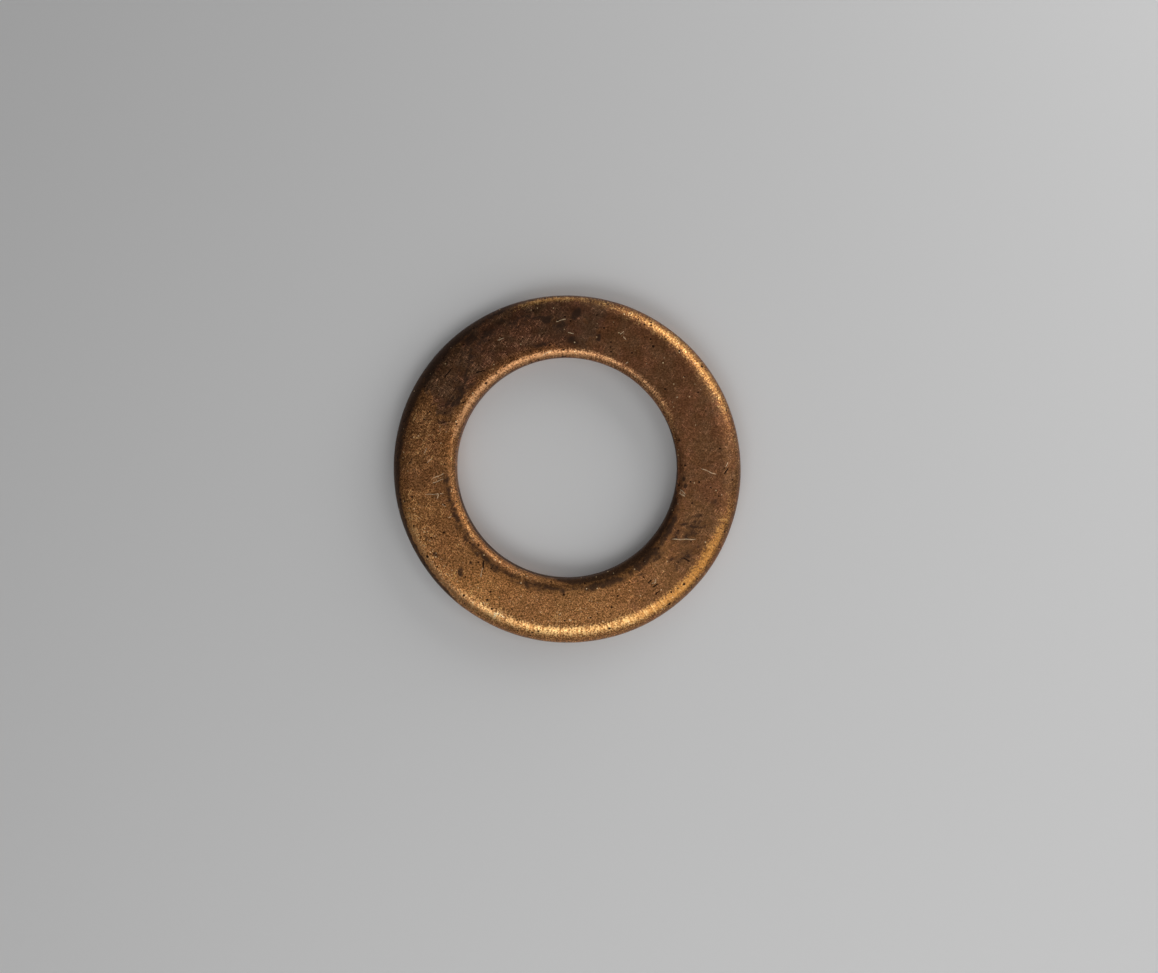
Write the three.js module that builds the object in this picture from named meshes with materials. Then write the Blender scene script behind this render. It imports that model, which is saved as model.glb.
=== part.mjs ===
// Copper sealing washer for an M14 thread: a flat ring folded from thin copper sheet around a soft core.
//
// The sheet wraps the outer rim in one piece. Its two edges turn into the bore as lips, which meet on the
// bore wall, a little nearer the top face, and leave a fine seam. A fibre filler ring fills the fold.
//
// Units are millimetres. +Z is the bore axis. The origin is the bore's centre, in the plane of the underside.

import * as THREE from 'three';

// Overall size
const BORE_RADIUS = 7.1;      // slips over a 14 mm thread
const OUTER_RADIUS = 11.0;
const THICKNESS = 2.0;

// Folded copper sheet
const SHEET = 0.3;
const RIM_ROUND = 1.2;        // radial width of the rounding at the outer rim
const BORE_ROUND = 0.6;       // radius of the rounding at each edge of the bore
const SEAM_HEIGHT = 1.25;     // middle of the seam, above the underside
const SEAM_GAP = 0.1;         // slit between the two lips

// Filler ring
const FILLER_CLEARANCE = 0.05;

// Fineness of the facets
const TURN_SEGMENTS = 96;
const OUTER_STEPS = { rim: 12, bore: 6 };
const INNER_STEPS = { rim: 8, bore: 4 };

const QUARTER_TURN = Math.PI / 2;

/** Points on an elliptical arc in the section plane; angles run from outwards (0) to up (a quarter turn). */
function arc(centreRadius, centreHeight, width, height, from, to, steps) {
  const points = [];
  for (let i = 0; i <= steps; i++) {
    const angle = from + ((to - from) * i) / steps;
    points.push(new THREE.Vector2(
      centreRadius + width * Math.cos(angle),
      centreHeight + height * Math.sin(angle),
    ));
  }
  return points;
}

/**
 * The washer's section, drawn at a distance inside its surface.
 * It runs from the upper lip's edge over the top face, round the rim and back to the lower lip's edge.
 */
function sectionOutline(inset, steps) {
  const lipRadius = BORE_RADIUS + inset;
  const lipCentre = BORE_RADIUS + BORE_ROUND;
  const lipRound = BORE_ROUND - inset;
  const rimCentre = OUTER_RADIUS - RIM_ROUND;
  const rimWidth = RIM_ROUND - inset;
  const middle = THICKNESS / 2;
  const top = THICKNESS - BORE_ROUND;
  return [
    new THREE.Vector2(lipRadius, SEAM_HEIGHT + SEAM_GAP / 2),
    ...arc(lipCentre, top, lipRound, lipRound, 2 * QUARTER_TURN, QUARTER_TURN, steps.bore),
    ...arc(rimCentre, middle, rimWidth, middle - inset, QUARTER_TURN, -QUARTER_TURN, steps.rim),
    ...arc(lipCentre, BORE_ROUND, lipRound, lipRound, -QUARTER_TURN, -2 * QUARTER_TURN, steps.bore),
    new THREE.Vector2(lipRadius, SEAM_HEIGHT - SEAM_GAP / 2),
  ];
}

/** A ring turned from a section outline, about +Z. */
function turnedRing(outline) {
  const closed = [...outline, outline[0].clone()].reverse();
  const geometry = new THREE.LatheGeometry(closed, TURN_SEGMENTS);
  geometry.rotateX(QUARTER_TURN);
  return geometry;
}

/** The folded copper sheet, open only at the seam in the bore. */
function copperJacket() {
  const outside = sectionOutline(0, OUTER_STEPS);
  const inside = sectionOutline(SHEET, INNER_STEPS).reverse();
  const copper = new THREE.MeshStandardMaterial({ color: 0x8a5a30, roughness: 0.42, metalness: 1 });
  const jacket = new THREE.Mesh(turnedRing([...outside, ...inside]), copper);
  jacket.name = 'copper_jacket';
  return jacket;
}

/** The soft core, shut inside the fold with a small clearance. */
function fillerRing() {
  const outline = sectionOutline(SHEET + FILLER_CLEARANCE, INNER_STEPS);
  const fibre = new THREE.MeshStandardMaterial({ color: 0x9a958c, roughness: 0.95, metalness: 0 });
  const filler = new THREE.Mesh(turnedRing(outline), fibre);
  filler.name = 'filler_ring';
  return filler;
}

const washer = new THREE.Group();
washer.add(copperJacket());
washer.add(fillerRing());

export default washer;
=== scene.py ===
"""Looks of a copper sealing washer for an M14 thread.

The folded jacket is rebuilt as a fine mesh with the waves, dents and grooves of handled copper sheet,
and it wears a procedural material of aged copper. The filler ring stays as CAD made it, in a fibre
material. The section and the marks are in millimetres and degrees; the stage is in metres.
"""

import math

import bpy
import numpy as np
from mathutils import Matrix, Vector, noise


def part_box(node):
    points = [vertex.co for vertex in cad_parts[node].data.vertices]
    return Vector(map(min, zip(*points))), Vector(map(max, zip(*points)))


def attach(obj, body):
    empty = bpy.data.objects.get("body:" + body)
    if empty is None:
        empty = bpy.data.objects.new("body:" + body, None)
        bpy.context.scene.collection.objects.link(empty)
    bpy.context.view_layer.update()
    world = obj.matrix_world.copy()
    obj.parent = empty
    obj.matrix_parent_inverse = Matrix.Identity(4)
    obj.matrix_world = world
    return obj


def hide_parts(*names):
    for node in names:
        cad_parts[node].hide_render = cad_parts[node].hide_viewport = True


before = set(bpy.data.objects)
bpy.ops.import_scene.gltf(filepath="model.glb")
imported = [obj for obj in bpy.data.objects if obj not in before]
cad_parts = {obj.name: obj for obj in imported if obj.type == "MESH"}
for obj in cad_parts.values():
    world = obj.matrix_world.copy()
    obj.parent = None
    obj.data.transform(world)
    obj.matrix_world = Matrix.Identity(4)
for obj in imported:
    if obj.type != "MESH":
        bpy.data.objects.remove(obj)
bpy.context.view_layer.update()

MM = 0.001


# The jacket's section, in millimetres

def narrowest_radius(node):
    """The smallest distance, in millimetres, from the bore's axis to a CAD node's surface."""
    points = np.array([v.co[:2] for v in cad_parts[node].data.vertices])
    return float(np.hypot(points[:, 0], points[:, 1]).min()) / MM


JACKET_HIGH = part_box("copper_jacket")[1]
OUTER_RADIUS = JACKET_HIGH.x / MM
THICKNESS = JACKET_HIGH.z / MM
BORE_RADIUS = narrowest_radius("copper_jacket")
MIDDLE = THICKNESS / 2
SHEET = 0.3            # thickness of the copper sheet
RIM_ROUND = 1.2        # radial width of the rounding at the outer rim
BORE_ROUND = 0.6       # radius of the rounding at each edge of the bore
LIP_INSET = 0.15       # how far the lips lie inside the CAD bore, on average
LIP_SPREAD = 0.08      # extra radial width of the bore's upper rounding, on average
SEAM_HEIGHT = 1.25     # middle of the seam, above the underside
SEAM_GAP = 0.06        # slit between the two lips
LIP_EDGE = 0.07        # rounding of each lip's cut edge

# Unevenness round the ring: (waves in a turn, height, angle of a crest in degrees)
BORE_WAVES = ((1, 0.11, 88), (2, 0.015, 30))
LIP_WAVES = ((2, 0.03, 40), (5, 0.02, 10), (9, 0.012, 77))
RIM_WAVES = ((1, 0.04, 200), (3, 0.03, 15), (7, 0.02, 130), (12, 0.012, 0))
# Where the bore's upper rounding is widest: (angle, half length in degrees, extra width)
WIDE_LIP = (308, 26, 0.22)

TURN_STEPS = 740       # points round the ring
FACE_STEPS = 34        # points across the top face
RIM_STEPS = (22, 14)   # points on the upper and the lower half of the rim
UNDER_STEPS = 12       # points across the underside
LIP_STEPS = (14, 8)    # points on the upper and the lower rounding of the bore
WALL_STEPS = (2, 6)    # points up the bore's wall, above and below the seam
SEAM_STEPS = 3         # points round each lip's cut edge
HOLLOW_STEPS = 8       # points round the hidden inside of the rim


def hump(distance):
    """1 at distance 0, falling smoothly to 0 at distance 1 and beyond."""
    near = np.clip(1 - np.abs(distance), 0, 1)
    return near * near * (3 - 2 * near)


def plateau(distance, fade):
    """1 where distance is below 1, falling smoothly to 0 over a further fade."""
    return hump(np.maximum(np.abs(distance) - 1, 0) / fade)


def turn_away(turn, centre):
    """How far, in degrees from -180 to 180, angles in radians lie from a centre in degrees."""
    return (np.degrees(turn) - centre + 180) % 360 - 180


def swell(turn, centre, half_length):
    """1 at a centre on the ring, falling smoothly to 0 at half_length from it, both in degrees."""
    return hump(turn_away(turn, centre) / half_length)


def swells(turn, *terms):
    """The sum of swells, from terms (centre, half length, height)."""
    return sum(height * swell(turn, centre, half_length) for centre, half_length, height in terms)


def stretch(turn, centre, half_length, fade):
    """1 within half_length of a centre on the ring, then falling to 0 over fade half lengths."""
    return plateau(turn_away(turn, centre) / half_length, fade)


def ring_wave(turn, *terms):
    """A wave that closes round the ring: the sum of terms (waves in a turn, height, crest's angle)."""
    return sum(height * np.cos(waves * (turn - math.radians(crest))) for waves, height, crest in terms)


def section_rows():
    """The rings of points that make the jacket's surface, in order round its section.

    Each row is (zone, radii, heights, bend). Bend runs from 0 on the flats to 1 at the rim's edge or
    the bore's wall.
    """
    turn = np.arange(TURN_STEPS) * 2 * math.pi / TURN_STEPS
    bore = BORE_RADIUS - LIP_INSET + ring_wave(turn, *BORE_WAVES)
    lip = BORE_ROUND + LIP_SPREAD + ring_wave(turn, *LIP_WAVES) + swells(turn, WIDE_LIP)
    rim = RIM_ROUND + ring_wave(turn, *RIM_WAVES)
    face_in = bore + lip
    face_out = OUTER_RADIUS - rim
    lower_lip_edge = SEAM_HEIGHT - SEAM_GAP / 2
    upper_lip_edge = SEAM_HEIGHT + SEAM_GAP / 2
    rows = []

    def add(zone, radius, height, bend=0.0):
        rows.append((zone, radius + 0 * turn, height + 0 * turn, bend))

    def shares(count):
        return [i / count for i in range(count)]

    for share in shares(FACE_STEPS):
        add("face", face_in + share * (face_out - face_in), THICKNESS)
    for share in shares(RIM_STEPS[0]):
        angle = share * math.pi / 2
        add("rim", face_out + rim * math.sin(angle), MIDDLE + MIDDLE * math.cos(angle), share)
    for share in shares(RIM_STEPS[1]):
        angle = share * math.pi / 2
        add("rim", face_out + rim * math.cos(angle), MIDDLE - MIDDLE * math.sin(angle), 1 - share)
    for share in shares(UNDER_STEPS):
        add("under", face_out + share * (bore + BORE_ROUND - face_out), 0)
    for share in shares(LIP_STEPS[1]):
        angle = share * math.pi / 2
        add("lip", bore + BORE_ROUND * (1 - math.sin(angle)), BORE_ROUND * (1 - math.cos(angle)), share)
    for share in shares(WALL_STEPS[1]):
        add("wall", bore, BORE_ROUND + share * (lower_lip_edge - LIP_EDGE - BORE_ROUND), 1)
    for share in shares(SEAM_STEPS):
        angle = share * math.pi / 2
        height = lower_lip_edge - LIP_EDGE * (1 - math.sin(angle))
        add("seam", bore + LIP_EDGE * (1 - math.cos(angle)), height, 1)

    hidden_bore = BORE_RADIUS + SHEET
    hidden_bend = BORE_RADIUS + BORE_ROUND
    hidden_rim = OUTER_RADIUS - RIM_ROUND
    add("hidden", bore + LIP_EDGE, lower_lip_edge)
    add("hidden", hidden_bore, lower_lip_edge)
    add("hidden", hidden_bore, BORE_ROUND)
    add("hidden", hidden_bend, SHEET)
    for share in shares(HOLLOW_STEPS):
        angle = (share - 0.5) * math.pi
        depth = (RIM_ROUND - SHEET) * math.cos(angle)
        add("hidden", hidden_rim + depth, MIDDLE + (MIDDLE - SHEET) * math.sin(angle))
    add("hidden", hidden_rim, THICKNESS - SHEET)
    add("hidden", hidden_bend, THICKNESS - SHEET)
    add("hidden", hidden_bore, THICKNESS - BORE_ROUND)
    add("hidden", hidden_bore, upper_lip_edge)

    for share in shares(SEAM_STEPS):
        angle = share * math.pi / 2
        height = upper_lip_edge + LIP_EDGE * (1 - math.cos(angle))
        add("seam", bore + LIP_EDGE * (1 - math.sin(angle)), height, 1)
    upper_wall = THICKNESS - BORE_ROUND - upper_lip_edge - LIP_EDGE
    for share in shares(WALL_STEPS[0]):
        add("wall", bore, upper_lip_edge + LIP_EDGE + share * upper_wall, 1)
    for share in shares(LIP_STEPS[0]):
        angle = share * math.pi / 2
        height = THICKNESS - BORE_ROUND * (1 - math.sin(angle))
        add("lip", face_in - lip * math.cos(angle), height, 1 - share)
    return turn, rows


# Marks of use

# Scratches on the top face and the underside: (angle, radius, length, heading)
BRIGHT_SCRATCHES = (
    (91.5, 9.40, 0.70, 14),
    (87.5, 8.61, 0.42, -8),
    (116.0, 9.16, 0.50, 16),
    (98.7, 7.45, 0.72, 27),
    (67.5, 9.32, 0.32, 35),
    (65.8, 9.10, 0.30, -55),
    (184.8, 8.05, 0.80, 20),
    (190.3, 8.38, 1.25, 4),
    (196.0, 7.95, 0.30, -35),
    (202.0, 7.85, 0.22, 20),
    (244.6, 10.13, 0.60, 42),
    (247.0, 10.02, 0.35, -35),
    (330.3, 8.59, 1.60, 0),
    (348.7, 7.46, 0.50, -35),
    (2.5, 10.12, 0.35, 62),
    (230.5, 8.28, 0.80, 75),
    (308.6, 8.97, 0.30, 25),
    (0.0, 8.98, 1.10, -22),
    (350.2, 7.47, 0.50, -40),
    (60.2, 7.78, 0.22, 30),
    (33.5, 8.40, 0.12, 20),
    (48.7, 9.40, 0.12, 60),
    (309.5, 8.90, 0.26, 75),
    (191.7, 8.20, 0.32, 60),
    (182.6, 8.03, 0.90, 24),
    (176.0, 8.60, 0.40, 50),
    (172.0, 8.90, 0.45, 62),
    (244.0, 10.05, 0.30, 15),
    (268.0, 9.05, 0.25, 40),
    (272.0, 9.40, 0.20, -20),
)
DARK_SCRATCHES = (
    (0.3, 10.09, 0.60, 62),
    (324.0, 9.43, 0.50, -33),
    (308.4, 9.14, 0.45, 40),
    (176.5, 9.78, 0.5, 60),
    (140.0, 9.58, 0.9, 52),
    (131.0, 8.20, 0.7, 20),
    (307.6, 8.74, 0.42, 48),
    (307.3, 9.58, 0.40, 50),
    (228.8, 7.85, 0.60, 84),
)
UNDERSIDE_SCRATCHES = (
    (20.0, 8.60, 1.10, 70),
    (74.0, 9.30, 0.60, 15),
    (118.0, 8.20, 0.80, -40),
    (205.0, 9.00, 1.40, 30),
    (212.0, 8.70, 0.70, 36),
    (287.0, 8.90, 0.90, -10),
)
FAR_FROM_SCRATCH = 1.0     # distance given to points that no scratch is near
SCRATCH_WOBBLE = 0.015     # how far a scratch wanders to either side
SCRATCH_OVERRUN = 0.6      # how far past its ends a scratch is still felt, in half lengths

# Dark stains: (angle, radius, half length, half width, heading, strength). Those beside the bore, at
# radii near 7.5, also deepen the painted shade of the band there.
STAIN_FADE = 1.9           # how far a stain fades out, as a multiple of its half sizes
STAINS = (
    (96.9, 9.52, 0.34, 0.22, 8, 1.00),
    (98.5, 9.70, 0.70, 0.10, 6, 0.90),
    (91.3, 9.08, 0.40, 0.22, 10, 0.80),
    (93.0, 8.90, 1.10, 0.80, 70, 0.38),
    (107.0, 9.75, 1.30, 0.60, 20, 0.50),
    (122.0, 9.70, 1.60, 0.55, 34, 0.52),
    (137.0, 9.20, 0.90, 0.35, 60, 0.48),
    (85.9, 9.82, 0.42, 0.26, 60, 0.95),
    (86.9, 8.16, 0.42, 0.28, -30, 0.90),
    (75.7, 8.64, 0.26, 0.13, 65, 0.90),
    (101.0, 8.00, 0.55, 0.20, 12, 0.75),
    (126.2, 10.22, 0.60, 0.30, 36, 0.80),
    (119.5, 9.83, 0.70, 0.28, 30, 0.85),
    (113.5, 10.12, 0.50, 0.22, 24, 0.70),
    (147.5, 8.12, 0.45, 0.20, 50, 0.95),
    (145.0, 8.02, 0.60, 0.10, 64, 0.90),
    (141.0, 8.31, 0.75, 0.16, 62, 0.85),
    (143.0, 8.60, 0.60, 0.08, 48, 0.80),
    (134.5, 8.74, 0.60, 0.14, 75, 0.80),
    (131.0, 8.95, 0.55, 0.07, 60, 0.85),
    (129.2, 9.33, 0.50, 0.12, 78, 0.75),
    (124.5, 9.10, 0.34, 0.08, 66, 0.80),
    (126.0, 9.95, 0.55, 0.10, 46, 0.85),
    (150.0, 8.51, 0.55, 0.10, 52, 0.85),
    (133.0, 9.63, 0.45, 0.14, 70, 0.60),
    (137.0, 7.95, 0.50, 0.18, 50, 0.60),
    (202.0, 7.54, 0.36, 0.18, -60, 0.72),
    (207.0, 7.62, 0.34, 0.10, -50, 0.45),
    (213.6, 7.64, 0.40, 0.16, -65, 0.55),
    (220.2, 7.52, 0.44, 0.16, -40, 0.65),
    (226.0, 7.60, 0.46, 0.20, -52, 0.55),
    (233.0, 7.56, 0.50, 0.16, -34, 0.60),
    (243.9, 7.68, 0.70, 0.24, -28, 0.55),
    (206.0, 9.72, 0.34, 0.20, -60, 0.50),
    (212.5, 9.70, 0.28, 0.18, -50, 0.60),
    (216.0, 9.42, 0.24, 0.16, -30, 0.45),
    (226.5, 9.40, 0.26, 0.20, -60, 0.50),
    (197.5, 9.60, 0.26, 0.12, -70, 0.45),
    (200.0, 8.45, 0.26, 0.20, -40, 0.35),
    (188.0, 7.34, 0.10, 0.08, 0, 0.90),
    (168.0, 7.50, 0.60, 0.12, 78, 0.55),
    (194.0, 7.50, 0.50, 0.11, -76, 0.50),
    (209.0, 7.46, 0.50, 0.10, -58, 0.50),
    (184.5, 7.60, 0.50, 0.12, -85, 0.60),
    (228.8, 7.85, 0.45, 0.07, 85, 0.75),
    (224.1, 9.24, 0.34, 0.12, 88, 0.75),
    (224.4, 8.41, 0.09, 0.09, 0, 1.00),
    (214.9, 9.19, 0.07, 0.07, 0, 1.00),
    (210.0, 10.43, 0.08, 0.07, 0, 1.00),
    (246.2, 9.56, 0.08, 0.07, 0, 1.00),
    (263.0, 9.05, 0.07, 0.07, 0, 0.90),
    (334.7, 8.79, 1.05, 0.45, 50, 0.52),
    (325.0, 9.18, 0.85, 0.34, 48, 0.50),
    (337.0, 8.75, 0.45, 0.10, 8, 0.75),
    (334.0, 9.00, 0.50, 0.08, 20, 0.70),
    (322.0, 8.70, 0.45, 0.09, 30, 0.60),
    (336.0, 8.08, 0.50, 0.10, 8, 0.66),
    (338.8, 9.34, 0.50, 0.14, 20, 0.55),
    (348.5, 9.41, 0.36, 0.12, 35, 0.55),
    (324.1, 9.30, 0.36, 0.07, -25, 1.00),
    (319.0, 9.20, 0.55, 0.14, 60, 0.45),
    (329.4, 9.48, 0.60, 0.14, 40, 0.50),
    (331.0, 8.90, 0.70, 0.12, 30, 0.50),
    (318.0, 7.92, 0.45, 0.22, 40, 0.75),
    (306.0, 7.99, 0.45, 0.10, 12, 0.60),
    (341.0, 8.60, 0.60, 0.12, 20, 0.50),
    (356.0, 7.43, 0.12, 0.10, 0, 1.00),
    (353.1, 7.66, 0.14, 0.10, 40, 0.95),
    (354.2, 10.25, 0.10, 0.08, 30, 0.90),
    (329.0, 7.95, 0.70, 0.20, 60, 0.56),
)


def place(angle, radius):
    """The x and y of the point at an angle in degrees and a radius."""
    return radius * math.cos(math.radians(angle)), radius * math.sin(math.radians(angle))


def stain_map(x, y):
    """How dark each point is from the stains, from 0 to 1; warped x and y break up their outlines."""
    total = np.zeros_like(x)
    for angle, radius, half_length, half_width, heading, strength in STAINS:
        centre_x, centre_y = place(angle, radius)
        along_x, along_y = place(heading, 1)
        along = (x - centre_x) * along_x + (y - centre_y) * along_y
        across = (y - centre_y) * along_x - (x - centre_x) * along_y
        reach = np.hypot(across / half_width, along / half_length)
        total = np.maximum(total, strength * hump(reach / STAIN_FADE))
    return total


def wander(points, size, seed):
    """Smooth noise from -1 to 1 at each point, with features about size millimetres across."""
    shift = Vector((seed * 17.3, seed * 5.1, seed * 9.7))
    return np.array([noise.noise(Vector(p) / size + shift) for p in points])


# Stretches of darker oxide: (middle and half length in degrees, strength, softness of its ends)
OXIDE_STRETCHES = (
    (118, 36, 0.95, 0.10),
    (38, 50, 0.72, 0.35),
    (-20, 16, 0.66, 0.45),
    (-40, 16, 0.52, 0.60),
    (285, 30, 0.30, 0.80),
    (172, 16, 0.42, 0.50),
    (206, 13, 0.26, 0.90),
)
THINNEST_OXIDE = 0.06
OXIDE_SLANT = 4        # degrees that the stretches' ends lean over for each millimetre of radius
FACE_MIDDLE = 8.7      # radius of the middle of the top face

# The dark band beside the bore: dirt and painted shade
CREASE_EDGE = 7.38     # radius of its inner edge
CREASE_WIDTH = 0.20
CREASE_WIDEST = (305, 40, 0.16)
FRINGE_RADIUS = 7.66   # middle of the fainter fringe outside it
FRINGE_WIDTH = 0.44

# The rubbed shoulder of the rim, whose bare copper also paints its highlight: changes round the ring in
# where on the bend its middle lies and in how far it reaches, as swells (centre and half length in
# degrees, change)
SHOULDER_MIDDLE = (
    (42, 80, 0.18),
    (92, 34, 0.22),
    (268, 50, -0.06),
    (324, 34, 0.05),
    (6, 36, 0.16),
    (222, 34, 0.10),
)
SHOULDER_REACH = (
    (42, 80, 0.15),
    (92, 34, -0.16),
    (324, 34, 0.05),
    (58, 26, 0.07),
)


def oxide_and_shade_map(turn, radii, bend, zone, raggedness):
    """How thick the brown oxide is, with painted shade below the rim's shoulder, from 0 to 1; raggedness
    shifts its ends, in degrees.
    """
    cover = np.zeros_like(radii) + THINNEST_OXIDE
    slant = OXIDE_SLANT * (radii - FACE_MIDDLE)
    for middle, half_length, strength, softness in OXIDE_STRETCHES:
        away = (turn_away(turn, middle) + slant + raggedness) / half_length
        cover = np.maximum(cover, strength * plateau(away, softness))
    cover = cover * (1 - 0.7 * hump((radii - 7.55) / 0.75) * stretch(turn, 132, 34, 0.6))
    open_side = stretch(turn, 45, 48, 0.4)
    # Below the rim's shoulder, away from the open side, the skin is darkened: oxide and painted shade.
    below_shoulder = np.clip((bend - 0.62) / 0.3, 0, 1) * (zone == "rim") * (1 - open_side)
    # On the lip near 238 degrees the skin is darkened.
    lip_cover = 0.46 * stretch(turn, 238, 20, 1.4) * (zone == "lip")
    return np.maximum(cover, np.maximum(0.75 * below_shoulder, lip_cover))


def crease_dirt_and_shade_map(turn, radii):
    """Dirt and painted shade in the band where the top face turns into the bore: a dark core and a
    fringe.
    """
    reach = stretch(turn, 262, 72, 0.25)
    soft_side = stretch(turn, 226, 28, 0.5)
    width = CREASE_WIDTH + swells(turn, CREASE_WIDEST)
    core_reach = (1.6 + 0.4 * soft_side) * width
    core = (0.84 - 0.18 * soft_side) * hump((radii - CREASE_EDGE - 0.5 * width) / core_reach)
    fringe = (0.46 + 0.10 * soft_side) * stretch(turn, 272, 64, 0.3)
    fringe = fringe * hump((radii - FRINGE_RADIUS) / FRINGE_WIDTH)
    return reach * np.maximum(core, fringe)


def grime_and_painted_shade_map(turn, bend, zone):
    """Near-black tarnish and painted shade on the rim's shaded side, and in the bore across from it."""
    rim_start = 0.37 - swells(turn, (150, 58, 0.20))
    rim_side = stretch(turn, 168, 50, 0.45) * np.clip((bend - rim_start) / 0.25, 0, 1)
    rim_side = rim_side * (1 - swells(turn, (118, 22, 0.30))) * (zone == "rim")
    lip_start = 0.54 - 0.40 * stretch(turn, 308, 32, 0.5)
    lip_side = stretch(turn, 325, 52, 0.5) * np.clip((bend - lip_start) / 0.30, 0, 1)
    lip_side = lip_side * (zone == "lip")
    wall_side = stretch(turn, 305, 95, 0.5) * ((zone == "wall") | (zone == "seam"))
    return np.maximum(0.98 * rim_side, 0.85 * np.maximum(lip_side, wall_side))


def wear_and_highlight_map(turn, bend, zone):
    """How far each point is rubbed back to bare metal, which also paints the highlight on the lit sides,
    from 0 to 1.
    """
    lower_side = stretch(turn, 288, 46, 0.4)
    middle = 0.34 + swells(turn, *SHOULDER_MIDDLE) - 0.07 * lower_side
    reach = 0.38 + swells(turn, *SHOULDER_REACH) + 0.05 * lower_side
    shoulder = hump((bend - middle) / reach) * (zone == "rim")
    shoulder = shoulder * (1 - swells(turn, (40, 55, 0.26), (76, 26, 0.44)))
    shoulder = shoulder * (1 - 0.86 * stretch(turn, 149, 34, 0.6))
    shoulder = shoulder * (1 - swells(turn, (2, 34, 0.76)))
    shoulder = shoulder * (1 - swells(turn, (334, 28, 0.14), (268, 50, 0.27)))
    far_side = stretch(turn, 92, 56, 0.5)
    lip = hump((bend - 0.60 + 0.19 * far_side) / (0.34 + 0.32 * far_side)) * (zone == "lip")
    lip = lip * (1 - swells(turn, (46, 50, 0.28), (232, 38, 0.42)))
    lip = lip * (1 - 0.9 * stretch(turn, 302, 42, 1.2)) * (0.40 + 0.44 * far_side)
    return np.maximum(shoulder, lip)


def painted_glint_map(turn, radii):
    """Where painted glints are thickest, from 0 to 1: on the lower half, by the rim and the lip."""
    shoulder = stretch(turn, 212, 26, 0.6) * hump((radii - 9.95) / 0.95)
    lip = stretch(turn, 222, 34, 0.4) * hump((radii - 7.17) / 0.24)
    foot = swell(turn, 268, 34) * plateau((radii - 8.95) / 0.65, 0.7)
    return np.maximum(shoulder, np.maximum(lip, 0.8 * foot))


def nearest_scratch(x, y, scratches):
    """Where each point lies by its nearest scratch.

    The first array is the signed distance across the scratch. The second is how well inside the
    scratch's length the point is: 1 at its middle, 0 at its ends and less beyond them.
    """
    side = np.full_like(x, FAR_FROM_SCRATCH)
    inside = np.zeros_like(x)
    for angle, radius, length, heading in scratches:
        centre_x, centre_y = place(angle, radius)
        along_x, along_y = place(heading, 1)
        along = (x - centre_x) * along_x + (y - centre_y) * along_y
        across = (y - centre_y) * along_x - (x - centre_x) * along_y
        across = across + SCRATCH_WOBBLE * np.sin(9 * along + angle)
        within = 1 - np.abs(along) / (length / 2)
        closer = (np.abs(across) < np.abs(side)) & (within > -SCRATCH_OVERRUN)
        side = np.where(closer, across, side)
        inside = np.where(closer, within, inside)
    return side, inside


# The jacket's mesh

# How deep the sheet is pressed in, in millimetres
WAVE_DEPTH = 0.012
DENT_DEPTH = 0.004
GRAIN_DEPTH = 0.0015
COMB_DEPTH = 0.005     # of the fine grooves that run over the bends
COMB_RADIUS = 9        # radius at which those grooves have the size of their noise


def outward(grid):
    """The unit normal at each point of a grid that closes both ways, pointing out of the copper."""
    round_section = np.roll(grid, -1, 0) - np.roll(grid, 1, 0)
    round_ring = np.roll(grid, -1, 1) - np.roll(grid, 1, 1)
    normal = np.cross(round_section, round_ring)
    return normal / np.linalg.norm(normal, axis=2, keepdims=True)


def surface_maps(turn, radii, on_top, bend, zone, slow, medium, quick):
    """What the copper's material needs to know at each point, by name."""
    x, y = radii * np.cos(turn), radii * np.sin(turn)
    top_side, top_inside = nearest_scratch(x, y, BRIGHT_SCRATCHES)
    under_side, under_inside = nearest_scratch(x, y, UNDERSIDE_SCRATCHES)
    dark_side, dark_inside = nearest_scratch(x, y, DARK_SCRATCHES)
    warp_x, warp_y = 0.10 * medium + 0.12 * quick, 0.10 * slow - 0.12 * quick
    # The dark band by the bore: dirt and painted shade.
    crease = crease_dirt_and_shade_map(turn, radii + 0.5 * warp_x)
    crease = crease * np.clip(0.86 + 0.6 * quick + 0.5 * medium, 0, 1)
    stain_and_shade = np.maximum(stain_map(x + warp_x, y + warp_y), crease) * on_top
    blush = (zone == "lip") * stretch(turn, 110, 70, 0.4)
    blush = blush + (zone == "rim") * swells(turn, (222, 44, 0.8))
    scuffed = np.clip(stretch(turn, 134, 32, 0.6) + swells(turn, (190, 44, 0.40)), 0, 1)
    return {
        "bend": bend,
        # Rubbed bare copper, which also paints the highlight on the rim's and the lip's lit sides.
        "wear_and_highlight": wear_and_highlight_map(turn, bend, zone),
        # Brown oxide, with painted shade below the rim's shoulder.
        "oxide_and_shade": oxide_and_shade_map(turn, radii, bend, zone, 7 * medium + 5 * quick),
        # Stains and dirt, with painted shade in the band by the bore and on the rim's shaded side.
        "stain_and_shade": np.maximum(stain_and_shade, grime_and_painted_shade_map(turn, bend, zone)),
        # The skin lighter and more golden towards 265 degrees, more orange and darker across from it.
        "golden_side": 0.45 + ring_wave(turn, (1, 0.50, 265), (2, 0.08, 330)),
        # Painted highlight: the bare copper paler and more golden near 268 degrees, where the highlight
        # is brightest.
        "pale_highlight": swell(turn, 268, 54),
        "blush": blush,
        "ember": swell(turn, 328, 44),
        "calm": stretch(turn, 20, 60, 0.5),
        # Painted glints on the lower half, by the rim and the lip.
        "painted_glints": painted_glint_map(turn, radii),
        "scuffed": scuffed * (1 - 0.5 * bend),
        "bright_side": np.where(on_top, top_side, under_side),
        "bright_inside": np.where(on_top, top_inside, under_inside),
        "dark_side": dark_side,
        "dark_inside": dark_inside * on_top,
    }


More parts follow.
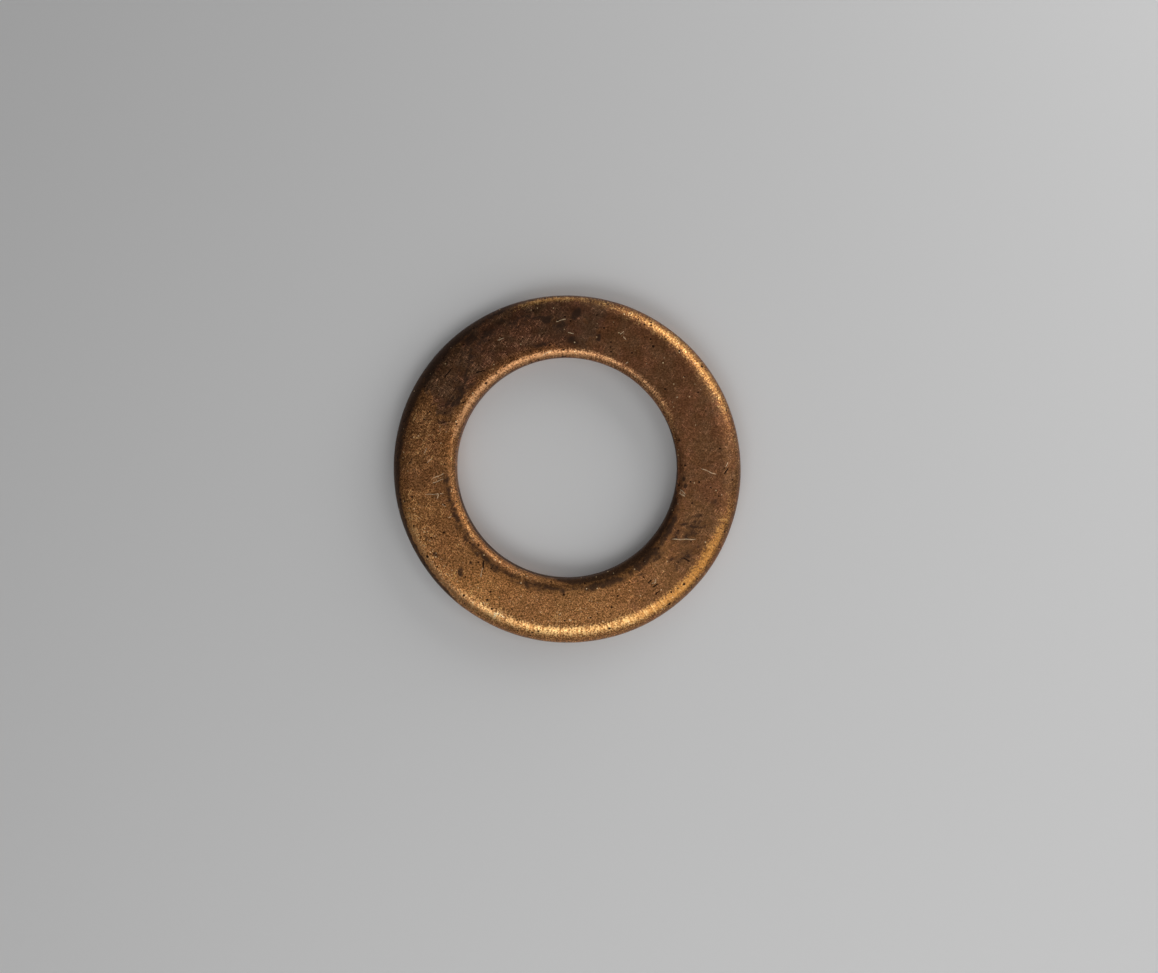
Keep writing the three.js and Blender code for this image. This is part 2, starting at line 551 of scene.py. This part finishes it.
def closed_mesh(name, grid):
    """A smooth mesh of quads over a grid of points, in millimetres, that closes both ways."""
    index = np.arange(grid.shape[0] * grid.shape[1]).reshape(grid.shape[:2])
    beside, after = np.roll(index, -1, 1), np.roll(index, -1, 0)
    both = np.roll(after, -1, 1)
    quads = np.stack([index, after, both, beside], axis=2).reshape(-1, 4)
    mesh = bpy.data.meshes.new(name)
    mesh.from_pydata((grid.reshape(-1, 3) * MM).tolist(), [], quads.tolist())
    mesh.shade_smooth()
    return mesh


def make_jacket():
    """The folded copper jacket: one closed mesh, uneven as handled sheet is, with its maps of wear,
    stains and painted light and shade.
    """
    turn, rows = section_rows()
    radii = np.array([row[1] for row in rows])
    heights = np.array([row[2] for row in rows])
    zone = np.array([row[0] for row in rows])[:, None]
    bend = np.array([row[3] for row in rows])[:, None] + 0 * radii
    grid = np.stack([radii * np.cos(turn), radii * np.sin(turn), heights], axis=2)
    points = grid.reshape(-1, 3)
    slow = wander(points, 3.4, 1).reshape(radii.shape)
    medium = wander(points, 0.9, 2).reshape(radii.shape)
    quick = wander(points, 0.33, 3).reshape(radii.shape)
    spokes = np.stack([np.cos(turn) * COMB_RADIUS, np.sin(turn) * COMB_RADIUS, 0 * turn], axis=1)
    comb = wander(spokes, 0.30, 4)[None, :]

    depth = WAVE_DEPTH * (1 + slow) + DENT_DEPTH * (1 + medium) + GRAIN_DEPTH * (1 + quick)
    depth = depth + COMB_DEPTH * (1 + comb) * np.sin(bend * math.pi) ** 2
    depth = np.where(zone == "seam", depth * 0.5, depth) * (zone != "hidden")
    mesh = closed_mesh("copper_jacket_sheet", grid - outward(grid) * depth[:, :, None])

    maps = surface_maps(turn, radii, heights > MIDDLE, bend, zone, slow, medium, quick)
    for name, values in maps.items():
        attribute = mesh.attributes.new(name, "FLOAT", "POINT")
        values = np.broadcast_to(values, radii.shape).astype(np.float32)
        attribute.data.foreach_set("value", values.ravel())
    jacket = bpy.data.objects.new("copper_jacket_sheet", mesh)
    bpy.context.scene.collection.objects.link(jacket)
    return jacket


# Materials

class Graph:
    """A material's shader nodes, with short ways to add and join them."""

    def __init__(self, name):
        self.material = bpy.data.materials.new(name)
        self.material.use_nodes = True
        self.tree = self.material.node_tree
        self.tree.nodes.clear()
        self.shader = self.node("BsdfPrincipled")
        output = self.node("OutputMaterial")
        self.tree.links.new(self.shader.outputs[0], output.inputs[0])
        self.place = self.node("TexCoord").outputs["Object"]

    def node(self, kind, **settings):
        made = self.tree.nodes.new("ShaderNode" + kind)
        for key, value in settings.items():
            setattr(made, key, value)
        return made

    def feed(self, socket, value):
        """Joins a node's output to a socket, or sets the socket to a constant."""
        if isinstance(value, bpy.types.NodeSocket):
            self.tree.links.new(value, socket)
        else:
            socket.default_value = value

    def math(self, operation, *values, clamp=False):
        made = self.node("Math", operation=operation, use_clamp=clamp)
        for socket, value in zip(made.inputs, values):
            self.feed(socket, value)
        return made.outputs[0]

    def times(self, first, second, clamp=False):
        return self.math("MULTIPLY", first, second, clamp=clamp)

    def most(self, first, second):
        return self.math("MAXIMUM", first, second)

    def plus(self, base, value, weight, clamp=False):
        """base plus weight times value."""
        return self.math("MULTIPLY_ADD", value, weight, base, clamp=clamp)

    def vary(self, base, noise, amount, clamp=False):
        """base plus amount times how far a noise is from its middle, 0.5."""
        return self.plus(base, self.math("SUBTRACT", noise, 0.5), amount, clamp)

    def fit(self, value, low, high, to_low=0.0, to_high=1.0):
        """value's range low to high, eased onto to_low to to_high."""
        made = self.node("MapRange", interpolation_type="SMOOTHSTEP")
        for key, part in enumerate((value, low, high, to_low, to_high)):
            self.feed(made.inputs[key], part)
        return made.outputs[0]

    def noise(self, size, detail, roughness, place=None, stretch=0.0):
        """Noise from 0 to 1 with features about size millimetres across."""
        made = self.node("TexNoise")
        self.feed(made.inputs["Vector"], place or self.place)
        self.feed(made.inputs["Scale"], 1 / (size * MM))
        self.feed(made.inputs["Detail"], detail)
        self.feed(made.inputs["Roughness"], roughness)
        self.feed(made.inputs["Distortion"], stretch)
        return made.outputs[0]

    def split(self, kind, value):
        """The outputs of a node that takes one value apart."""
        made = self.node(kind)
        self.feed(made.inputs[0], value)
        return made.outputs

    def join(self, x, y, z):
        """The vector of three values."""
        made = self.node("CombineXYZ")
        for socket, value in zip(made.inputs, (x, y, z)):
            self.feed(socket, value)
        return made.outputs[0]

    def attribute(self, name):
        return self.node("Attribute", attribute_name=name).outputs["Fac"]

    def mix(self, share, first, second):
        """first where share is 0, and second where it is 1."""
        made = self.node("Mix", data_type="RGBA")
        self.feed(made.inputs[0], share)
        self.feed(made.inputs[6], first)
        self.feed(made.inputs[7], second)
        return made.outputs[2]

    def scale_colour(self, colour, factor):
        """colour made brighter or darker by factor."""
        made = self.node("VectorMath", operation="SCALE")
        self.feed(made.inputs[0], colour)
        self.feed(made.inputs["Scale"], factor)
        return made.outputs[0]

    def bump(self, height, distance, normal=None):
        """The surface raised by height times distance, in millimetres, on top of an earlier bump."""
        made = self.node("Bump")
        self.feed(made.inputs["Height"], height)
        self.feed(made.inputs["Distance"], distance * MM)
        if normal is not None:
            self.feed(made.inputs["Normal"], normal)
        return made.outputs[0]


def ring_streaks(graph, size_round, size_across, detail):
    """Noise drawn out across the ring: narrow round the turn, and long over the bends of the section."""
    x, y, z = graph.split("SeparateXYZ", graph.place)
    radius = graph.math("SQRT", graph.math("ADD", graph.times(x, x), graph.times(y, y)))
    turns = OUTER_RADIUS / size_round
    round_x = graph.times(graph.math("DIVIDE", x, radius), turns)
    round_y = graph.times(graph.math("DIVIDE", y, radius), turns)
    across = graph.times(graph.math("SUBTRACT", radius, z), 1 / (size_across * MM))
    return graph.noise(1 / MM, detail, 0.5, place=graph.join(round_x, round_y, across))


def scratch_line(graph, name, half_width, ragged):
    """1 on the nearest scratch of a kind, with a ragged edge, and 0 off it."""
    side = graph.math("ABSOLUTE", graph.attribute(name + "_side"))
    side = graph.vary(side, ragged, half_width * 2.4)
    line = graph.fit(side, 0.45 * half_width, 1.3 * half_width, 1.0, 0.0)
    return graph.times(line, graph.fit(graph.attribute(name + "_inside"), 0.0, 0.35))


def hairline(graph, heading, length, crowd):
    """1 on fine lines along a heading and 0 between them, where crowd adds more."""
    x, y, z = graph.split("SeparateXYZ", graph.place)
    along_x, along_y = place(heading, 1 / (length * MM))
    across_x, across_y = place(heading + 90, 1 / (HAIRLINE_WIDTH * MM))
    along = graph.plus(graph.times(y, along_y), x, along_x)
    across = graph.plus(graph.times(y, across_y), x, across_x)
    height = graph.plus(heading, z, 1 / (length * MM))
    ridges = graph.noise(1 / MM, 1, 0.5, place=graph.join(along, across, height))
    return graph.fit(graph.plus(ridges, crowd, 0.07), 0.63, 0.70)


def dots(graph, spacing, rarity, size):
    """1 in scattered small dots and 0 between them: size is a share of the spacing."""
    cells = graph.node("TexVoronoi", feature="F1")
    graph.feed(cells.inputs["Vector"], graph.place)
    graph.feed(cells.inputs["Scale"], 1 / (spacing * MM))
    chance = graph.split("SeparateColor", cells.outputs["Color"])[0]
    chosen = graph.fit(chance, rarity, rarity + 0.05)
    return graph.times(graph.fit(cells.outputs["Distance"], 0.5 * size, size, 1.0, 0.0), chosen)


# Fine lines of handling: (heading, length, brightness against the skin)
HAIRLINES = (
    (12, 0.9, 0.40),
    (35, 0.5, 0.45),
    (57, 0.9, 2.3),
    (82, 0.5, 1.8),
    (-38, 0.6, 2.1),
)
HAIRLINE_WIDTH = 0.035
BRIGHT_HALF_WIDTH = 0.024  # of the bright scratches
DARK_HALF_WIDTH = 0.050    # of the dark scratches

# Colours of the copper, as linear red, green and blue
ORANGE_SKIN = (0.42, 0.165, 0.055, 1)
GOLDEN_SKIN = (0.56, 0.255, 0.085, 1)
REDDISH_OXIDE = (0.196, 0.084, 0.046, 1)
GREYISH_OXIDE = (0.170, 0.089, 0.049, 1)
STAIN_AND_SHADE_COLOUR = (0.050, 0.028, 0.019, 1)
DEEP_COPPER = (0.74, 0.35, 0.105, 1)
PALE_COPPER = (1.0, 0.63, 0.26, 1)
PINK_COPPER = (0.80, 0.42, 0.24, 1)
RED_COPPER = (0.78, 0.33, 0.060, 1)
FRESH_SCRATCH = (1.0, 0.76, 0.48, 1)
FILLED_SCRATCH = (0.030, 0.016, 0.010, 1)
# Bare specks, and the flecks of the painted glints.
SPECK_AND_GLINT_COLOUR = (1.0, 0.74, 0.42, 1)
FILLED_PIT = (0.040, 0.018, 0.010, 1)


def oxidised_skin(graph, cloud, mottle, grain):
    """The colour of the copper's brown skin, with its patches, its grain and the lines of handling,
    lighter and more golden towards 265 degrees round the ring.
    """
    golden_side, oxide_and_shade, calm, scuffed = map(graph.attribute, ("golden_side", "oxide_and_shade", "calm", "scuffed"))
    warm = graph.vary(golden_side, graph.noise(2.4, 3, 0.55), 1.1, clamp=True)
    skin = graph.mix(warm, ORANGE_SKIN, GOLDEN_SKIN)
    thick = graph.vary(oxide_and_shade, cloud, 0.8)
    thick = graph.vary(thick, mottle, 0.4, clamp=True)
    hue = graph.fit(graph.noise(1.3, 2, 0.5), 0.38, 0.62)
    skin = graph.mix(thick, skin, graph.mix(hue, REDDISH_OXIDE, GREYISH_OXIDE))
    skin = graph.scale_colour(skin, graph.fit(cloud, 0.34, 0.66, 0.86, 1.14))
    skin = graph.scale_colour(skin, graph.fit(mottle, 0.32, 0.68, 0.84, 1.16))
    darkest = graph.plus(graph.plus(0.26, calm, 0.12), thick, 0.30)
    lightest = graph.plus(graph.plus(1.54, calm, -0.12), thick, -0.28)
    skin = graph.scale_colour(skin, graph.fit(grain, 0.36, 0.64, darkest, lightest))
    handled = graph.plus(graph.plus(cloud, golden_side, 0.10), scuffed, 0.08)
    handled = graph.fit(handled, 0.49, 0.61)
    for heading, length, shade in HAIRLINES:
        hair = graph.times(hairline(graph, heading, length, scuffed), handled)
        skin = graph.scale_colour(skin, graph.fit(hair, 0.0, 1.0, 1.0, shade))
    return graph.scale_colour(skin, graph.plus(1.0, scuffed, -0.12))


def stain_and_shade_share(graph, cloud, mottle, grain):
    """How far stains and painted shade cover the skin, from 0 to 1, with ragged edges."""
    stain_and_shade = graph.attribute("stain_and_shade")
    ragged = graph.vary(stain_and_shade, cloud, 1.2)
    ragged = graph.vary(ragged, mottle, 1.0)
    ragged = graph.vary(ragged, grain, 0.8)
    return graph.times(graph.fit(ragged, 0.16, 0.76), graph.fit(stain_and_shade, 0.0, 0.35), clamp=True)


def rubbed_and_highlight_share(graph, grain, streaks, stained_and_shaded):
    """How far the skin is rubbed away to bare copper, which also paints highlight, from 0 to 1: in
    grains and streaks, and not under a stain or painted shade.
    """
    wear_and_highlight = graph.attribute("wear_and_highlight")
    rub = graph.plus(grain, wear_and_highlight, 0.40)
    rub = graph.plus(rub, graph.times(graph.math("SUBTRACT", streaks, 0.5), wear_and_highlight), 0.5)
    return graph.times(graph.fit(rub, 0.60, 0.92), graph.math("SUBTRACT", 1.0, stained_and_shaded))


def bare_metal(graph, grain, streaks):
    """The colour of rubbed copper, which changes round the ring and from grain to grain, painted paler
    where the highlight is brightest.
    """
    pale_highlight, blush, ember = map(graph.attribute, ("pale_highlight", "blush", "ember"))
    glint = graph.vary(grain, streaks, 0.8)
    glint = graph.plus(glint, graph.math("SUBTRACT", pale_highlight, 0.67), 0.15)
    bare = graph.mix(graph.fit(glint, 0.42, 0.66), DEEP_COPPER, PALE_COPPER)
    bare = graph.mix(graph.times(blush, 0.5), bare, PINK_COPPER)
    return graph.mix(graph.times(ember, 0.6), bare, RED_COPPER)


def aged_copper():
    """Copper under a brown oxide: rubbed bright on its bends, stained, pitted and finely grained, with
    painted highlights, glints and shade.
    """
    graph = Graph("aged_copper")
    bend, painted_glints = map(graph.attribute, ("bend", "painted_glints"))
    cloud = graph.noise(0.55, 4, 0.65)
    mottle = graph.noise(0.25, 2, 0.55)
    grain = graph.noise(0.105, 3, 0.75)
    streaks = ring_streaks(graph, 0.12, 1.1, 2)
    stained_and_shaded = stain_and_shade_share(graph, cloud, mottle, grain)
    rubbed_and_highlit = rubbed_and_highlight_share(graph, grain, streaks, stained_and_shaded)
    broken = graph.fit(mottle, 0.34, 0.52, 0.4, 1.0)
    bright = graph.times(scratch_line(graph, "bright", BRIGHT_HALF_WIDTH, grain), broken)
    dark = scratch_line(graph, "dark", DARK_HALF_WIDTH, grain)
    # Painted glints: bright flecks, thickest where the glint map is high.
    flecks = graph.times(dots(graph, 0.17, 0.62, 0.26), graph.fit(painted_glints, 0.1, 0.8), clamp=True)
    flecks = graph.times(flecks, graph.fit(cloud, 0.42, 0.56))
    specks_and_glints = graph.most(dots(graph, 0.34, 0.72, 0.15), flecks)
    pits = graph.most(dots(graph, 0.42, 0.60, 0.22), dots(graph, 0.95, 0.65, 0.13))
    glint_grain = graph.fit(graph.noise(0.06, 1, 0.5), 0.36, 0.64, -0.42, 0.52)

    colour = oxidised_skin(graph, cloud, mottle, grain)
    # Stains, and painted shade by the bore and on the rim's shaded side, in one dark colour.
    colour = graph.mix(graph.times(stained_and_shaded, 0.88), colour, STAIN_AND_SHADE_COLOUR)
    # Bare copper where rubbed, which also paints the highlight on the lit sides.
    colour = graph.mix(rubbed_and_highlit, colour, bare_metal(graph, grain, streaks))
    colour = graph.mix(bright, colour, FRESH_SCRATCH)
    colour = graph.mix(dark, colour, FILLED_SCRATCH)
    # Painted glints: a fine grain of lighter and darker colour.
    colour = graph.scale_colour(colour, graph.plus(1.0, graph.times(glint_grain, painted_glints), 0.9))
    # Bare specks, and the bright flecks of the painted glints.
    colour = graph.mix(specks_and_glints, colour, SPECK_AND_GLINT_COLOUR)
    colour = graph.mix(pits, colour, FILLED_PIT)
    graph.feed(graph.shader.inputs["Base Color"], colour)
    graph.feed(graph.shader.inputs["Metallic"], 1.0)

    rough = graph.fit(cloud, 0.3, 0.7, 0.38, 0.48)
    rough = graph.plus(rough, graph.most(rubbed_and_highlit, bright), -0.14)
    rough = graph.plus(rough, stained_and_shaded, 0.12)
    graph.feed(graph.shader.inputs["Roughness"], rough)

    height = graph.plus(grain, pits, -1.0)
    height = graph.plus(height, graph.most(bright, dark), -1.0)
    normal = graph.bump(height, 0.012)
    normal = graph.bump(graph.times(streaks, bend), 0.014, normal)
    normal = graph.bump(mottle, 0.008, normal)
    normal = graph.bump(flecks, 0.020, normal)
    graph.feed(graph.shader.inputs["Normal"], normal)
    return graph.material


# Colours of the filler and the floor, as linear red, green and blue
DARK_FIBRE = (0.26, 0.24, 0.20, 1)
PALE_FIBRE = (0.42, 0.40, 0.35, 1)
FIBRE_FLECK = (0.16, 0.14, 0.12, 1)
PALE_FLOOR = (0.82, 0.82, 0.82, 1)


def pressed_fibre():
    """Grey-brown fibre board, such as a gasket's filling."""
    graph = Graph("pressed_fibre")
    strands = graph.noise(0.12, 4, 0.7, stretch=2.0)
    flecks = graph.fit(graph.noise(0.35, 2, 0.5), 0.6, 0.75)
    colour = graph.mix(graph.fit(strands, 0.3, 0.7), DARK_FIBRE, PALE_FIBRE)
    colour = graph.mix(flecks, colour, FIBRE_FLECK)
    graph.feed(graph.shader.inputs["Base Color"], colour)
    graph.feed(graph.shader.inputs["Roughness"], 0.85)
    graph.feed(graph.shader.inputs["Normal"], graph.bump(strands, 0.02))
    return graph.material


def pale_floor_material():
    """A plain, matt, pale grey surface."""
    graph = Graph("pale_floor")
    graph.feed(graph.shader.inputs["Base Color"], PALE_FLOOR)
    graph.feed(graph.shader.inputs["Roughness"], 0.7)
    return graph.material


# Stage, lights and camera

FLOOR_SIZE = 1.4
VIEW_TILT = 5.5        # degrees between the camera's direction and straight down
VIEW_AZIMUTH = 45      # degrees from +X to the side the camera stands on
VIEW_DISTANCE = 0.120
FRAME_WIDTH = 0.07315  # width of what the camera sees at the washer's middle height
FRAME_CENTRE = (0.00081, -0.00104)
SENSOR_WIDTH = 36      # of the camera, in millimetres
CLIP_RANGE = (0.001, 5)
WORLD_GREY = 0.108

# Soft light panels: (name, azimuth, elevation, width, height, radiance, distance), angles in degrees
PANELS = (
    ("window", 42, 20, 64, 30, 2.15, 0.12),
    ("right_box", 0, 55, 30, 24, 1.27, 0.12),
    ("low_right_box", 322, 27, 44, 30, 0.72, 0.12),
    ("low_left_box", 278, 27, 44, 30, 0.58, 0.12),
    ("high_box", 264, 56, 46, 26, 1.70, 0.14),
    ("left_glow", 218, 42, 30, 22, 0.38, 0.12),
    ("back_fill", 120, 32, 50, 20, 0.18, 0.14),
    ("top_fill", 0, 84, 34, 24, 0.10, 0.30),
)


def direction(azimuth, elevation):
    """The unit vector that points to an azimuth from +X and an elevation, both in degrees."""
    rise = math.radians(elevation)
    return Vector((*place(azimuth, math.cos(rise)), math.sin(rise)))


def make_floor():
    half = FLOOR_SIZE / 2
    corners = [(-half, -half, 0), (half, -half, 0), (half, half, 0), (-half, half, 0)]
    mesh = bpy.data.meshes.new("floor")
    mesh.from_pydata(corners, [], [(0, 1, 2, 3)])
    mesh.materials.append(pale_floor_material())
    floor = bpy.data.objects.new("floor", mesh)
    bpy.context.scene.collection.objects.link(floor)


def add_panel(name, azimuth, elevation, wide, high, radiance, distance):
    """A soft rectangular light that faces the washer and spans wide by high degrees as seen from it."""
    lamp = bpy.data.lights.new(name, "AREA")
    lamp.shape = "RECTANGLE"
    lamp.size = 2 * distance * math.tan(math.radians(wide / 2))
    lamp.size_y = 2 * distance * math.tan(math.radians(high / 2))
    lamp.energy = radiance * math.pi * lamp.size * lamp.size_y
    panel = bpy.data.objects.new(name, lamp)
    toward = direction(azimuth, elevation)
    panel.location = toward * distance
    panel.rotation_euler = toward.to_track_quat("Z", "Y").to_euler()
    panel.visible_camera = False
    bpy.context.scene.collection.objects.link(panel)


def make_world():
    world = bpy.data.worlds.new("soft_grey")
    world.use_nodes = True
    world.node_tree.nodes["Background"].inputs["Color"].default_value = (WORLD_GREY,) * 3 + (1,)
    bpy.context.scene.world = world


def make_camera():
    data = bpy.data.cameras.new("camera")
    data.sensor_width = SENSOR_WIDTH
    data.lens = SENSOR_WIDTH * VIEW_DISTANCE / FRAME_WIDTH
    data.clip_start, data.clip_end = CLIP_RANGE
    camera = bpy.data.objects.new("camera", data)
    back = direction(VIEW_AZIMUTH, 90 - VIEW_TILT)
    camera.location = Vector((*FRAME_CENTRE, MIDDLE * MM)) + back * VIEW_DISTANCE
    right = Vector((0, 1, 0)).cross(back).normalized()
    camera.rotation_euler = Matrix((right, back.cross(right), back)).transposed().to_euler()
    bpy.context.scene.collection.objects.link(camera)
    bpy.context.scene.camera = camera


make_camera()
make_world()
make_floor()
for panel in PANELS:
    add_panel(*panel)
bpy.context.scene.view_settings.view_transform = "Standard"

jacket = make_jacket()
jacket.data.materials.append(aged_copper())
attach(jacket, "root")
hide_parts("copper_jacket")

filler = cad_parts["filler_ring"]
filler.data.materials.clear()
filler.data.materials.append(pressed_fibre())
